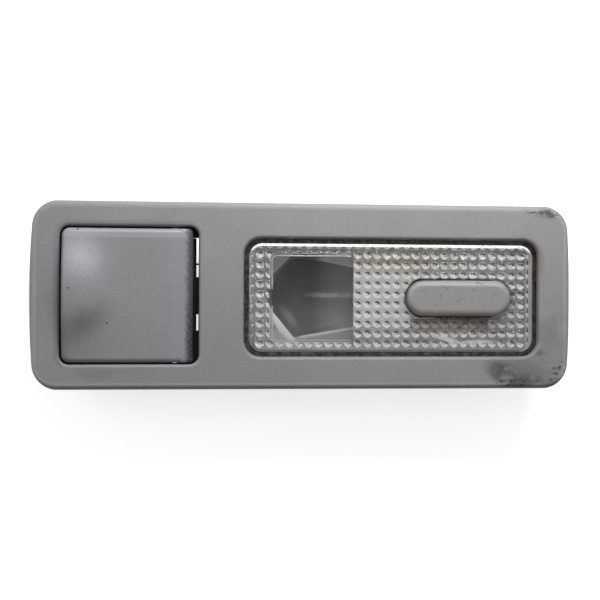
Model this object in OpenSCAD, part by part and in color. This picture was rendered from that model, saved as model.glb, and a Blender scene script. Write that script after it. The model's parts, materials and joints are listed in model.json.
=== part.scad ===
// Car courtesy light: long bezel with a hinged access flap at the left and a
// bead lens, a clear window and a rocker switch at the right.
// It lies on its back. X is the length, Y the height in the roof, Z points
// out of the face. Z = 0 is the rear rim of the bezel, against the headliner.

/* [Bezel] */
// Length of the bezel
bezel_l = 181; // [176:1:190]
// Width of the bezel
bezel_w = 62; // [58:1:68]
// Height of the face above the headliner
bezel_h = 8; // [7.5:0.5:10]
// Corner radius of the outline
corner_r = 8.8; // [7.4:0.2:10]
// Rounding of the front edge
edge_r = 1.7; // [1:0.1:2]
// Radius of the slightly bowed ends
end_r = 300; // [260:20:500]
// Thickness of the outer wall
wall_t = 2.4; // [2:0.1:2.6]
// Thickness of the face
face_t = 2.4; // [2.2:0.1:2.6]
// Border beside the flap opening
border_l = 9.7; // [9:0.1:11]
// Border beside the lens opening
border_r = 9.9; // [9:0.1:11]
// Bridge between the flap opening and the lens opening
bridge = 13.7; // [13:0.1:15]
// Depth of the housing's seat below the face
seat_drop = 4.4; // [4.2:0.1:4.8]
// Radius of the locating peg
peg_r = 2; // [1.6:0.1:2.4]
// How far the locating peg stands out behind the rim
peg_l = 5; // [3:0.5:7]

/* [Access flap] */
// Width of the flap opening
recess_w = 45.4; // [44:0.2:47]
// Corner radius of the flap opening
recess_r = 3.2; // [3:0.1:3.6]
// Gap around the flap
flap_gap = 0.65; // [0.5:0.05:0.8]
// Thickness of the flap
flap_t = 2; // [1.8:0.1:2.2]
// Rise of the finger bulge
bulge_h = 3.4; // [2:0.2:4.4]
// Length of the finger bulge
bulge_l = 25; // [20:1:28]
// Radius of the rolled hinge edge
roll_r = 3; // [2.8:0.1:3.2]
// Radius of the hinge pin
hinge_pin_r = 1; // [0.9:0.05:1.1]
// Width of the fixed hinge arm
arm_w = 12.5; // [10:0.5:16]
// Width of the ledge that the flap's edges lie over
ledge_w = 2.5; // [2:0.1:3]

/* [Lens] */
// Length of the lens opening
lens_l = 100; // [98:0.5:102]
// Width of the lens opening
lens_w = 39.3; // [38:0.1:41]
// Corner radius of the lens opening
lens_r = 5.6; // [5:0.1:6.4]
// Rounding of the lens opening edge
lip_r = 1.15; // [0.8:0.05:1.3]
// How far the lens opening sits below the middle
lens_drop = 0.5; // [0:0.1:1]
// Thickness of the lens
lens_t = 2.1; // [1.9:0.1:2.3]
// How deep the lens lies under the face
lens_sink = 1; // [0.6:0.1:1.3]
// Pitch of the beads
pitch = 3.3; // [3.2:0.02:3.6]
// Height of a bead
bead_h = 1; // [0.6:0.05:1.1]
// Length of the clear window
window_l = 27.8; // [24:0.2:30]
// Width of the clear window
window_w = 28.1; // [24:0.1:29]
// Middle of the window, left of the middle of the lens
window_x = 26.5; // [25:0.5:28]

/* [Rocker switch] */
// Length of the rocker button
rocker_l = 35.4; // [33:0.2:38]
// Width of the rocker button
rocker_w = 12; // [11.6:0.2:13.4]
// Height of the button's face above its pivot
rocker_h = 8.2; // [7.8:0.1:8.6]
// Middle of the button, right of the middle of the lens
rocker_x = 23; // [20:0.2:24]
// Tilt of the button with its left end pressed
rocker_tilt = 5; // [3.5:0.5:5.5]
// Rounding of the button's rim
rocker_r = 2.2; // [1.6:0.1:2.6]
// Radius of the button's pivot pins
pivot_r = 1.5; // [1.3:0.1:1.6]
// Length of the switch body
switch_l = 13.6; // [13:0.2:14.4]
// Width of the switch body
switch_w = 14; // [13.4:0.2:14.6]
// Radius of the plunger
plunger_r = 1.3; // [1.2:0.05:1.4]

/* [Lamp] */
// Depth of the lamp housing behind the rim
housing_d = 18; // [17:0.5:22]
// Wall of the lamp housing
shell_t = 1.8; // [1.6:0.1:2]
// Wall of the reflector
mirror_t = 1.2; // [1:0.1:1.4]
// Depth of the reflector's tray below the face
deck_drop = 10; // [9.6:0.1:10.4]
// Radius of the reflector bowl
bowl_r = 17.7; // [17:0.1:18.6]
// Angle at which the sides of the bowl draw in towards the bulb
bowl_taper = 11; // [6:0.5:11]
// Radius of the bulb glass
bulb_r = 5; // [4.6:0.1:5.3]
// Length of the round part of the bulb glass
bulb_l = 14; // [13:0.5:14.5]

/* [Plug and fixings] */
// Pitch of the plug's pins
pin_pitch = 7; // [6.8:0.1:7.2]
// Width of a pin
pin_w = 2.2; // [2:0.1:2.4]
// Radius of a housing screw
screw_r = 1; // [0.9:0.05:1.1]
// Radius of a screw head
head_r = 2.1; // [1.9:0.1:2.3]
// Width of a spring clip
clip_w = 10; // [8:0.5:14]
// Thickness of the clip's steel
clip_t = 0.6; // [0.5:0.05:0.7]

/* [Hidden] */
$fn = 64;

// Clearance of a running fit, and of pieces that only stand beside each other
fit = 0.05;
free = 0.4;

// Levels: face, underside of the face, housing seat, tub floor, reflector tray
zf = bezel_h;
zp = zf - face_t;
z_rim = zf - seat_drop;
z_tub = -housing_d;
z_deck = zf - deck_drop;
bow = end_r - sqrt(end_r * end_r - pow(bezel_w / 2 - corner_r, 2));

// Flap group. The opening fills the bezel's length beside the lens
recess_l = bezel_l - border_l - border_r - bridge - lens_l - 2 * lip_r;
fx = border_l + (recess_l - bezel_l) / 2;
wall_x = fx + recess_l / 2;
flap_w = recess_w - 2 * flap_gap;
flap_left = fx - recess_l / 2 + flap_gap + fit;
hx = wall_x - 1.9 - roll_r;
hz = zf - roll_r;
tunnel_t = 1.6;
pin_half = flap_w / 2 - 6;

// Lens group
lx = bezel_l / 2 - border_r - lip_r - lens_l / 2;
ly = -lens_drop;
pad_l = lens_l - 3.5;
pad_w = lens_w - 3.2;
rim_l = lens_l + 4.1;
rim_w = lens_w + 4.3;
rim_r = lens_r + 1.5;
z_pad = zf - lens_sink;
z_under = z_pad - lens_t;
cols = floor((pad_l - 3.6) / pitch);
rows = floor((pad_w - 3) / pitch);
wx = lx - window_x;

// Switch group
sx = lx + rocker_x;
sz = zf - 7;
skirt_z = 3.3;
pill_l = rocker_l + 1.8;
pill_w = rocker_w + 1;
stem_z = -3.6;
bore_top = 3.8;
tip_z = -5.05;
switch_slot = switch_w - 4.2;
teeter_l = 9.8;
teeter_z = sz - 7.3;
teeter_tilt = 1.4 * rocker_tilt;
contact_x = 4.2;
contact_r = 1.1;

// Lamp group
bowl_x = lx - 24.6;
bowl_end = lx + 2.1;
bx = bowl_end - bulb_l - 0.8;
bz = zf - 15.2;
base_l = 7.7;
holder_x = bowl_end + mirror_t + 0.6;
holder_l = 9.4;

// Plug group
strip_z = teeter_z - 5;
strip_t = 0.6;
pin_end = lx + rim_l / 2 + 4.5;
socket_end = pin_end + 1.4;
socket_w = 2 * (pin_pitch + pin_w / 2 + 0.9);
flange = head_r + 0.7;

module rrect(l, w, r) {
    square([l - 2 * r, w], center = true);
    square([l, w - 2 * r], center = true);
    for (x = [-1, 1], y = [-1, 1])
        translate([x * (l / 2 - r), y * (w / 2 - r)])
            circle(r);
}

module slab(l, w, r, z0, z1) {
    translate([0, 0, z0])
        linear_extrude(z1 - z0)
            rrect(l, w, r);
}

module box(x0, x1, y0, y1, z0, z1) {
    translate([x0, y0, z0])
        cube([x1 - x0, y1 - y0, z1 - z0]);
}

module pill(l, w, z0, z1) {
    translate([0, 0, z0])
        linear_extrude(z1 - z0) {
            square([l - w, w], center = true);
            for (s = [-1, 1])
                translate([s * (l - w) / 2, 0])
                    circle(w / 2);
        }
}

// Cross section of a wall whose top outer edge is rounded
module soft_profile(inner, outer, h, f) {
    translate([inner, 0])
        square([outer - inner - f, h]);
    translate([inner, 0])
        square([outer - inner, h - f]);
    translate([outer - f, h - f])
        circle(f);
}

// What a rounded edge takes away from a sharp one
module edge_profile(outer, h, f) {
    difference() {
        translate([outer - f, h - f])
            square([f + 1, f + 1]);
        translate([outer - f, h - f])
            circle(f);
    }
}

// Rectangle with round corners and slightly bowed ends
module bowed_outline(l, w, r, big) {
    a = asin((w / 2 - r) / (big - r));
    cx = l / 2 - big + (big - r) * cos(a);
    ex = cx + 20 * cos(a);
    ey = w / 2 - r + 20 * sin(a);
    square([2 * cx, w], center = true);
    for (m = [0, 1])
        mirror([m, 0]) {
            intersection() {
                translate([l / 2 - big, 0])
                    circle(big, $fn = 720);
                polygon([[0, r - w / 2], [cx, r - w / 2], [ex, -ey], [ex, ey], [cx, w / 2 - r],
                    [0, w / 2 - r]]);
            }
            for (s = [-1, 1])
                translate([cx, s * (w / 2 - r)])
                    circle(r);
        }
}

// Straight block with round corners and a rounded front edge
module soft_block(l, w, h, r, f) {
    difference() {
        slab(l, w, r, 0, h);
        for (s = [0, 1])
            mirror([0, s, 0])
                translate([r - l / 2, 0, 0])
                    rotate([90, 0, 90])
                        linear_extrude(l - 2 * r)
                            edge_profile(w / 2, h, f);
        for (s = [0, 1])
            mirror([s, 0, 0])
                translate([0, w / 2 - r, 0])
                    rotate([90, 0, 0])
                        linear_extrude(w - 2 * r)
                            edge_profile(l / 2, h, f);
        for (x = [0, 1], y = [0, 1])
            mirror([x, 0, 0])
                mirror([0, y, 0])
                    translate([l / 2 - r, w / 2 - r, 0])
                        rotate_extrude(angle = 90)
                            edge_profile(r, h, f);
    }
}

// The bezel's block: rounded front edge, ends bowed to the given radius
module bowed_block(l, w, h, r, f, big) {
    intersection() {
        linear_extrude(h + 1)
            bowed_outline(l, w + 0.2, r + 0.1, big);
        soft_block(l + 0.2, w, h, r, f);
    }
}

// Opening with a rounded lip at the face
module lip_cut(l, w, r, f, z0, z1) {
    slab(l, w, r, z0, z1 - f);
    difference() {
        slab(l + 2 * f, w + 2 * f, r + f, z1 - f, z1 + 1);
        for (s = [-1, 1]) {
            translate([-l / 2 + r, s * (w / 2 + f), z1 - f])
                rotate([0, 90, 0])
                    cylinder(r = f, h = l - 2 * r);
            translate([s * (l / 2 + f), w / 2 - r, z1 - f])
                rotate([90, 0, 0])
                    cylinder(r = f, h = w - 2 * r);
        }
        for (x = [-1, 1], y = [-1, 1])
            translate([x * (l / 2 - r), y * (w / 2 - r), z1 - f])
                rotate([0, 0, x > 0 ? (y > 0 ? 0 : 270) : (y > 0 ? 90 : 180)])
                    rotate_extrude(angle = 90)
                        translate([r + f, 0])
                            circle(f);
    }
}

// Screw places of the lamp housing, at the corners of the lens rim
module at_screw(n) {
    x = n < 3 ? -1 : 1;
    y = n % 2 == 1 ? 1 : -1;
    translate([lx + x * rim_l / 2, ly + y * rim_w / 2, 0])
        children();
}

module bezel() {
    color([0.55, 0.55, 0.57])
    difference() {
        union() {
            difference() {
                bowed_block(bezel_l, bezel_w, zf, corner_r, edge_r, end_r);
                slab(bezel_l - 2 * wall_t - 1.5 * bow, bezel_w - 2 * wall_t, corner_r - wall_t, -1, zp);
            }
            // tunnel behind the flap
            translate([fx, 0, 0])
                slab(recess_l + 2 * tunnel_t, recess_w + 2 * tunnel_t, recess_r + tunnel_t, 0, zp + 0.5);
            // bosses for the housing screws
            for (n = [1:4])
                at_screw(n)
                    translate([0, 0, z_rim])
                        cylinder(r = head_r + 0.1, h = zp + 0.5 - z_rim);
            // stiffening ribs
            for (x = [fx - recess_l / 4, fx + recess_l / 4])
                box(x - wall_t / 4, x + wall_t / 4, 1 - bezel_w / 2, bezel_w / 2 - 1, 1, zp + 0.5);
            // locating peg
            translate([wall_x + 5, 20, -peg_l])
                cylinder(r = peg_r, h = zp + 0.5 + peg_l);
        }
        translate([fx, 0, 0])
            lip_cut(recess_l, recess_w, recess_r, 1, -1, zf);
        translate([lx, ly, 0])
            lip_cut(lens_l, lens_w, lens_r, lip_r, -1, zf);
        for (n = [1:4])
            at_screw(n)
                translate([0, 0, z_rim - 1])
                    cylinder(r = screw_r, h = 4);
    }
    color([0.55, 0.55, 0.57])
    hinge_arm();
    color([0.55, 0.55, 0.57])
    flap_ledge();
}

// Ledge on three sides of the opening, under the edges of the flap
module flap_ledge() {
    top = zf - 4.3;
    low = zf - 6;
    difference() {
        translate([fx, 0, 0])
            slab(recess_l + tunnel_t, recess_w + tunnel_t, recess_r + tunnel_t / 2, low, top);
        translate([fx, 0, 0])
            slab(recess_l - 2 * ledge_w, recess_w - 2 * ledge_w, 1.2, low - 1, top + 1);
        box(hx - roll_r - 0.6, wall_x + 2 * tunnel_t, -recess_w, recess_w, low - 1, top + 1);
    }
    // and on past the ends of the rolled edge
    for (s = [0, 1])
        mirror([0, s, 0])
            box(hx - roll_r - 1, hx, recess_w / 2 - 0.35, recess_w / 2 + tunnel_t / 2, low, top);
}

// Fixed arm in the flap opening that carries the hinge pin
module hinge_arm() {
    b = arm_w / 2;
    low = hz - roll_r - free;
    front = hx - roll_r + 0.7;
    web = b + 4;
    difference() {
        union() {
            box(front, wall_x + tunnel_t / 2, -b, b, 0, low);
            box(front, hx - 0.5, -b, b, 0, hz);
            translate([hx, b, hz])
                rotate([90, 0, 0])
                    cylinder(r = hinge_pin_r + 0.7, h = 2 * b);
        }
        translate([hx, b + 1, hz])
            rotate([90, 0, 0])
                cylinder(r = hinge_pin_r + fit, h = 2 * b + 2);
    }
    // thin web across the slit beside the arm
    box(front, wall_x + tunnel_t / 2, web, web + 0.6, 0, low);
    box(front, hx - 1.1, -b, web + 0.6, 0, low);
    // floors that close the slit towards its two ends
    box(front, wall_x + tunnel_t / 2, recess_w / 2 - 3.4, recess_w / 2 + tunnel_t / 2, 0, low);
    box(front, wall_x + tunnel_t / 2, -recess_w / 2 - tunnel_t / 2, -web - 1.4, 0, low);
}

// Outline of the flap, with its bowed lifting edge
module flap_outline(inset) {
    intersection() {
        translate([hx, 0])
            bowed_outline(2 * (hx - flap_left - inset), flap_w - 2 * inset, recess_r - 0.6 - inset, 220);
        translate([flap_left - 1, -flap_w])
            square([hx - flap_left + 1, 2 * flap_w]);
    }
}

// Round crown that runs out level with the plate round it: its profile is a
// round top and a hollow of the same radius, which meet at half the height
module crown(l, h) {
    r = (l * l + h * h) / (4 * h);
    rotate_extrude($fn = 96) {
        intersection() {
            translate([0, h - r])
                circle(r, $fn = 200);
            translate([0, -1])
                square([l / 2 + 0.1, h + 2]);
        }
        difference() {
            translate([0, -1])
                square([l, h / 2 + 1]);
            translate([l, r])
                circle(r, $fn = 200);
        }
    }
}

module cover_flap() {
    f = 1.8;
    color([0.60, 0.60, 0.62])
    difference() {
        union() {
            // plate with rounded long edges
            intersection() {
                translate([0, 0, zf - 5])
                    linear_extrude(20)
                        flap_outline(0);
                union() {
                    box(flap_left - 2, hx, -flap_w / 2 + f, flap_w / 2 - f, zf - flap_t, zf);
                    box(flap_left - 2, hx, -flap_w / 2, flap_w / 2, zf - flap_t, zf - f);
                    for (s = [-1, 1])
                        translate([flap_left - 2, s * (flap_w / 2 - f), zf - f])
                            rotate([0, 90, 0])
                                cylinder(r = f, h = hx - flap_left + 2);
                    // finger bulge
                    intersection() {
                        translate([flap_left, 0, zf])
                            crown(bulge_l, bulge_h);
                        box(flap_left - 2, hx, -flap_w / 2 + f, flap_w / 2 - f, zf - 2, zf + 8);
                    }
                }
            }
            // skirt
            difference() {
                translate([0, 0, zf - 3.8])
                    linear_extrude(3.8 - flap_t + 0.1)
                        flap_outline(0.5);
                translate([0, 0, zf - 5])
                    linear_extrude(6)
                        flap_outline(1.9);
            }
            // rolled hinge edge
            translate([hx, flap_w / 2, hz])
                rotate([90, 0, 0])
                    cylinder(r = roll_r, h = flap_w);
        }
        // hollow of the bulge
        intersection() {
            translate([flap_left, 0, zf - flap_t])
                crown(bulge_l - 3, bulge_h);
            box(flap_left + 1.8, hx - 5, -flap_w / 2 + 3, flap_w / 2 - 3, zf - flap_t - 2, zf + 8);
        }
        // room for the fixed arm
        translate([hx, arm_w / 2 + free, hz])
            rotate([90, 0, 0])
                cylinder(r = hinge_pin_r + 1.05, h = arm_w + 2 * free);
        box(hx - roll_r - free, hx + roll_r + 1, -arm_w / 2 - free, arm_w / 2 + free, hz - roll_r - 1, hz);
        // bore for the hinge pin
        translate([hx, pin_half, hz])
            rotate([90, 0, 0])
                cylinder(r = hinge_pin_r, h = 2 * pin_half);
    }
}

module hinge_pin() {
    color([0.75, 0.75, 0.77])
    translate([hx, pin_half, hz])
        rotate([90, 0, 0])
            cylinder(r = hinge_pin_r, h = 2 * pin_half);
}

// Square bead field: a slab cut crosswise by V grooves
module bead_field() {
    gl = cols * pitch;
    gw = rows * pitch;
    g = pitch * 0.26;
    difference() {
        translate([lx - gl / 2, ly - 0.3 - gw / 2, z_under - bead_h])
            cube([gl, gw, bead_h + 0.05]);
        for (i = [1:cols - 1])
            translate([lx - gl / 2 + i * pitch, ly - 0.3 - gw / 2 - 1, z_under - bead_h])
                rotate([90, 0, 180])
                    linear_extrude(gw + 2)
                        polygon([[-g, -0.02], [g, -0.02], [0, bead_h * 0.8]]);
        for (i = [1:rows - 1])
            translate([lx - gl / 2 - 1, ly - 0.3 - gw / 2 + i * pitch, z_under - bead_h])
                rotate([90, 0, 90])
                    linear_extrude(gl + 2)
                        polygon([[-g, -0.02], [g, -0.02], [0, bead_h * 0.8]]);
        translate([wx, ly - 0.1, 0])
            slab(window_l + 2, window_w + 2, 2, z_under - 2, z_under + 2);
        translate([sx, ly, 0])
            pill(pill_l + 1, pill_w + 1, z_under - 2, z_under + 2);
    }
}

module lens() {
    color([0.85, 0.87, 0.88, 0.6])
    difference() {
        union() {
            difference() {
                union() {
                    translate([lx, ly, 0])
                        slab(rim_l, rim_w, rim_r, z_rim, zp);
                    translate([lx, ly, 0])
                        slab(pad_l, pad_w, lens_r - 1.2, z_rim, z_pad);
                }
                translate([lx, ly, 0])
                    slab(pad_l - 2.4, pad_w - 1.8, lens_r - 2.2, z_rim - 1, z_under);
            }
            bead_field();
            // rim of the clear window
            translate([wx, ly - 0.1, 0])
                difference() {
                    slab(window_l + 2, window_w + 2, 2.6, z_under - bead_h - 0.3, z_under + 0.05);
                    slab(window_l, window_w, 1.6, z_under - 3, z_under + 1);
                }
            // collar round the rocker
            translate([sx, ly, 0])
                pill(pill_l + 2.4, pill_w + 2.4, z_rim, z_under + 0.05);
        }
        translate([sx, ly, 0])
            pill(pill_l, pill_w, z_rim - 1, z_pad + 1);
        // notch in the rim of the window
        box(wx - window_l / 2 - 1.05, wx - window_l / 2 + 0.5, ly - 2.7, ly + 2.7, z_rim - 1, z_under);
    }
}

module in_rocker() {
    translate([sx, ly, sz])
        rotate([0, -rocker_tilt, 0])
            children();
}

module rocker_button() {
    f = rocker_r;
    q = (rocker_l - rocker_w) / 2;
    stem = 4;
    color([0.66, 0.66, 0.68])
    in_rocker()
    difference() {
        union() {
            // face with a rounded rim
            translate([0, 0, skirt_z]) {
                for (s = [0, 1])
                    mirror([s, 0, 0])
                        translate([q, 0, 0])
                            rotate([0, 0, -90])
                                rotate_extrude(angle = 180)
                                    soft_profile(0, rocker_w / 2, rocker_h - skirt_z, f);
                box(-q, q, -rocker_w / 2 + f, rocker_w / 2 - f, 0, rocker_h - skirt_z);
                box(-q, q, -rocker_w / 2, rocker_w / 2, 0, rocker_h - skirt_z - f);
                for (s = [-1, 1])
                    translate([-q, s * (rocker_w / 2 - f), rocker_h - skirt_z - f])
                        rotate([0, 90, 0])
                            cylinder(r = f, h = 2 * q);
            }
            // stem and pivot pins
            box(-stem, stem, free - switch_slot / 2, switch_slot / 2 - free, stem_z, skirt_z + 1);
            translate([0, switch_w / 2 - 0.8, 0])
                rotate([90, 0, 0])
                    cylinder(r = pivot_r, h = switch_w - 1.6);
        }
        // hollow ends under the face
        for (s = [0, 1])
            mirror([s, 0, 0])
                translate([(q + stem + rocker_w / 2 - 1.4) / 2, 0, 0])
                    slab(q - stem + rocker_w / 2 - 2.6, rocker_w - 2.8, 3, skirt_z - 1, rocker_h - 1.8);
        // bore for the plunger
        translate([0, 0, stem_z - 1])
            cylinder(r = plunger_r + 2 * fit, h = bore_top - stem_z + 1);
    }
}

// Round wire along a helix, from the bottom up
module coil(r, wire, h, turns) {
    sides = 6;
    steps = 10;
    n = turns * steps;
    ring = [for (j = [0:sides - 1]) 360 * j / sides];
    polyhedron(
        points = [for (i = [0:n], a = ring)
            let (t = 360 * i / steps, w = r + wire * cos(a))
            [w * cos(t), w * sin(t), wire + (h - 2 * wire) * i / n + wire * sin(a)]],
        faces = concat(
            [for (i = [0:n - 1], j = [0:sides - 1])
                let (k = (j + 1) % sides)
                [i * sides + j, (i + 1) * sides + j, (i + 1) * sides + k, i * sides + k]],
            [[for (j = [0:sides - 1]) j],
            [for (j = [0:sides - 1]) n * sides + sides - 1 - j]]));
}

module plunger_spring() {
    wire = 0.15;
    foot = tip_z + 1.1;
    color([0.7, 0.7, 0.72])
    in_rocker()
        translate([0, 0, foot])
            coil(plunger_r - 0.56, wire, bore_top - foot, 7);
}

// Hollow plunger with a round tip; the spring stands in it
module switch_plunger() {
    color([0.9, 0.88, 0.8])
    in_rocker()
        difference() {
            union() {
                translate([0, 0, tip_z])
                    cylinder(r = plunger_r, h = 3.65);
                translate([0, 0, tip_z])
                    sphere(plunger_r);
            }
            translate([0, 0, tip_z + 0.45])
                cylinder(r = plunger_r - 0.35, h = 4);
        }
}

module contact_teeter() {
    color([0.72, 0.55, 0.28])
    translate([sx, ly, teeter_z])
        rotate([0, teeter_tilt, 0]) {
            box(-teeter_l / 2, teeter_l / 2, -2.3, 2.3, 0, strip_t);
            for (s = [-1, 1])
                box(-1.2, 1.2, s * 2.3 - 0.25, s * 2.3 + 0.25, -0.1, 2 * strip_t);
        }
}

module switch_body() {
    color([0.36, 0.34, 0.31])
    difference() {
        translate([sx, ly, 0])
            slab(switch_l, switch_w, 1, z_tub + shell_t, zf - 4.8);
        translate([sx, ly, 0]) {
            slab(switch_l - 2.4, switch_slot, 0.8, teeter_z - 2.5, zf);
            slab(switch_l - 3.2, switch_w - 2.8, 0.8, z_tub, teeter_z - 3.7);
            translate([0, switch_w / 2 + 1, sz])
                rotate([90, 0, 0])
                    cylinder(r = pivot_r + fit, h = switch_w + 2);
        }
        terminal_common();
        terminal_ground();
        terminal_door();
    }
}

// Stamped strip from the bulb holder to the pivot of the contact
module terminal_common() {
    t = strip_t - 0.1;
    near = holder_x + 1;
    far = holder_x + holder_l + 0.2;
    low = teeter_z - 3 * strip_t - 1.8;
    color([0.78, 0.62, 0.30])
    translate([0, ly, 0]) {
        box(near, far, -4.6, -2.8, bz + 1.3, bz + 1.3 + t);
        box(near, near + 4.4, -4.6, 2, bz + 1.3, bz + 1.3 + t);
        box(far - t, far, -4.6, -2.8, low, bz + 1.3 + t);
        box(far - t, sx + t / 2, -4.6, -2.8, low, low + t);
        box(sx - t / 2, sx + t / 2, -4.6, 2, low, low + 1);
        box(sx - t / 2, sx + t / 2, -2, 2, low + 0.8, teeter_z - 0.35);
    }
}

// Stamped strip from the right hand contact to the middle pin
module terminal_ground() {
    color([0.78, 0.62, 0.30])
    translate([0, ly, strip_z]) {
        box(sx + contact_x - 1.2, pin_end, -pin_w / 2, pin_w / 2, 0, strip_t);
        translate([sx + contact_x, 0, strip_t - 0.1])
            cylinder(r = contact_r, h = 3.5);
    }
}

// Stamped strip from the left hand contact to the lower pin
module terminal_door() {
    color([0.78, 0.62, 0.30])
    translate([0, ly, strip_z]) {
        box(sx - contact_x - 0.8, sx - contact_x + 1.2, -pin_pitch - pin_w / 2, pin_w / 2, 0, strip_t);
        box(sx - contact_x - 0.8, pin_end, -pin_pitch - pin_w / 2, pin_w / 2 - pin_pitch, 0, strip_t);
        translate([sx - contact_x, 0, strip_t - 0.1])
            cylinder(r = contact_r, h = 3.5);
    }
}

// Stamped strip from the bulb holder to the upper pin
module terminal_supply() {
    t = strip_t - 0.1;
    near = holder_x + 1;
    turn = lx + rim_l / 2 - 12;
    out = pin_pitch + pin_w / 2 + 2.6;
    color([0.78, 0.62, 0.30])
    translate([0, ly, 0]) {
        box(near, near + 2.4, -3, out, bz - 1.3 - t, bz - 1.3);
        box(near, turn + t, out - 1.8, out, bz - 1.3 - t, bz - 1.3);
        box(turn, turn + t, out - 1.8, out, strip_z, bz - 1.3);
        box(turn, turn + 2, pin_pitch - pin_w / 2, out, strip_z, strip_z + strip_t);
        box(turn, pin_end, pin_pitch - pin_w / 2, pin_pitch + pin_w / 2, strip_z, strip_z + strip_t);
    }
}

// Bowl of the reflector, grown by t, as the solid that is cut out
module bowl(t) {
    floor_z = z_tub + shell_t + mirror_t + 0.3;
    half = window_w / 2 - 0.4;
    reach = bowl_end - bowl_x + 24 + t;
    intersection() {
        union() {
            translate([bowl_x, ly, zf - 2])
                sphere(bowl_r + t, $fn = 120);
            translate([bowl_x, ly, zf - 2])
                rotate([0, 94, 0])
                    cylinder(r = bowl_r + t, h = 40, $fn = 120);
        }
        translate([bowl_x - 24, ly, 0])
            rotate([90, 0, 90])
                linear_extrude(reach)
                    polygon([[-half - t, z_deck + 0.6], [half + t, z_deck + 0.6],
                        [half - 4.2 + t, floor_z - t], [4.2 - half - t, floor_z - t]]);
        for_side(0)
            bowl_side(half + t, floor_z - t);
        for_side(1)
            bowl_side(half + t, floor_z - t);
    }
}

module for_side(s) {
    translate([wx - 1, ly, 0])
        mirror([0, s, 0])
            children();
}

// Everything inside one drawn-in side of the bowl
module bowl_side(half, low) {
    translate([0, half, 0])
        rotate([0, 0, -bowl_taper])
            translate([-40, 0, 0])
                rotate([90, 0, 90])
                    linear_extrude(100)
                        polygon([[-60, z_deck + 0.6], [0, z_deck + 0.6], [-4.2, low], [-60, low]]);
}

module reflector() {
    color([0.80, 0.80, 0.82])
    difference() {
        union() {
            translate([lx, ly, 0]) {
                slab(rim_l, rim_w, rim_r, z_rim - 1, z_rim);
                slab(pad_l - 1, pad_w + 0.4, lens_r - 0.6, z_deck - mirror_t, z_rim - 0.5);
            }
            bowl(mirror_t);
        }
        translate([lx, ly, 0])
            slab(pad_l - 1 - 2 * mirror_t, pad_w + 0.4 - 2 * mirror_t, lens_r - 1.6, z_deck, z_rim + 1);
        bowl(0);
        translate([sx, ly, 0])
            slab(switch_l + 2 * free, switch_w + 2 * free, 1, z_deck - 3, zf);
        translate([bowl_end - 2, ly, bz])
            rotate([0, 90, 0])
                cylinder(r = bulb_r + 0.6, h = mirror_t + 4);
    }
}

module bulb_glass() {
    color([0.92, 0.94, 0.95, 0.5])
    translate([bx, ly, bz]) {
        difference() {
            union() {
                translate([bulb_r, 0, 0])
                    sphere(bulb_r);
                translate([bulb_r, 0, 0])
                    rotate([0, 90, 0])
                        cylinder(r = bulb_r, h = bulb_l - bulb_r);
                translate([bulb_l - 0.5, -4.7, -1.3])
                    cube([base_l + 0.5, 9.4, 2.6]);
            }
            translate([bulb_r, 0, 0])
                sphere(bulb_r - 0.6);
            translate([bulb_r, 0, 0])
                rotate([0, 90, 0])
                    cylinder(r = bulb_r - 0.6, h = bulb_l - bulb_r - 1.2);
        }
    }
}

module bulb_filament() {
    coil_x = bulb_l - 8.4;
    color([0.45, 0.45, 0.47])
    translate([bx, ly, bz]) {
        for (s = [-1, 1])
            translate([coil_x, s * 2.2, 0])
                rotate([0, 90, 0])
                    cylinder(r = 0.2, h = bulb_l - coil_x - 1.5);
        translate([coil_x + 0.1, 2.4, 0])
            rotate([90, 0, 0])
                cylinder(r = 0.3, h = 4.8);
    }
}

module bulb_holder() {
    color([0.93, 0.93, 0.9])
    difference() {
        translate([0, ly, 0])
            box(holder_x, holder_x + holder_l, -6.4, 6.4, z_tub + shell_t, z_deck - mirror_t - 0.2);
        translate([0, ly, 0])
            box(holder_x - 1, bx + bulb_l + base_l + 0.3, -4.8, 4.8, bz - 2.2, bz + 2.2);
        terminal_common();
        terminal_supply();
    }
}

module lamp_housing() {
    color([0.88, 0.88, 0.86])
    difference() {
        union() {
            translate([lx, ly, 0]) {
                slab(rim_l + 2 * flange, rim_w + 2 * flange, flange, z_rim - 2.6, z_rim);
                slab(rim_l - 4, rim_w - 2.6, rim_r - 1, z_tub, z_rim - 1.6);
            }
            // plug socket
            translate([0, ly, 0])
                box(lx + rim_l / 2 - 3, socket_end, -socket_w / 2 - 1.2, socket_w / 2 + 1.2, strip_z - 3.6,
                    strip_z + 4.2);
        }
        translate([lx, ly, 0]) {
            slab(rim_l + free, rim_w + free, rim_r + free / 2, z_rim - 1, z_rim + 1);
            slab(rim_l - 4 - 2 * shell_t, rim_w - 2.6 - 2 * shell_t, rim_r - 1 - shell_t + 0.1,
                z_tub + shell_t, z_rim);
        }
        translate([0, ly, 0])
            box(lx + rim_l / 2 - 0.4, socket_end + 1, -socket_w / 2, socket_w / 2, strip_z - 2.4,
                strip_z + 3);
        for (n = [1:4])
            at_screw(n)
                translate([0, 0, z_rim - 4])
                    cylinder(r = screw_r + 0.25, h = 6);
        terminal_ground();
        terminal_door();
        terminal_supply();
    }
}

module spring_clip(s) {
    y = rim_w / 2 - 1.3;
    t = clip_t;
    color([0.72, 0.73, 0.75])
    translate([lx, ly, 0])
        mirror([0, s, 0])
            translate([-clip_w / 2, 0, 0])
                rotate([90, 0, 90])
                    linear_extrude(clip_w)
                        polygon([[y, -2.5], [y + t, -2.5], [y + t, -14.2], [y + 5.5 - t / 6, -6.6],
                            [y + 3.6, -3.1], [y + 4.1, -2.8], [y + 5.5 + t, -6.6], [y + t + 0.1, -15.5],
                            [y, -15.5]]);
}

module spring_clip_upper() {
    spring_clip(0);
}

module spring_clip_lower() {
    spring_clip(1);
}

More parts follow.
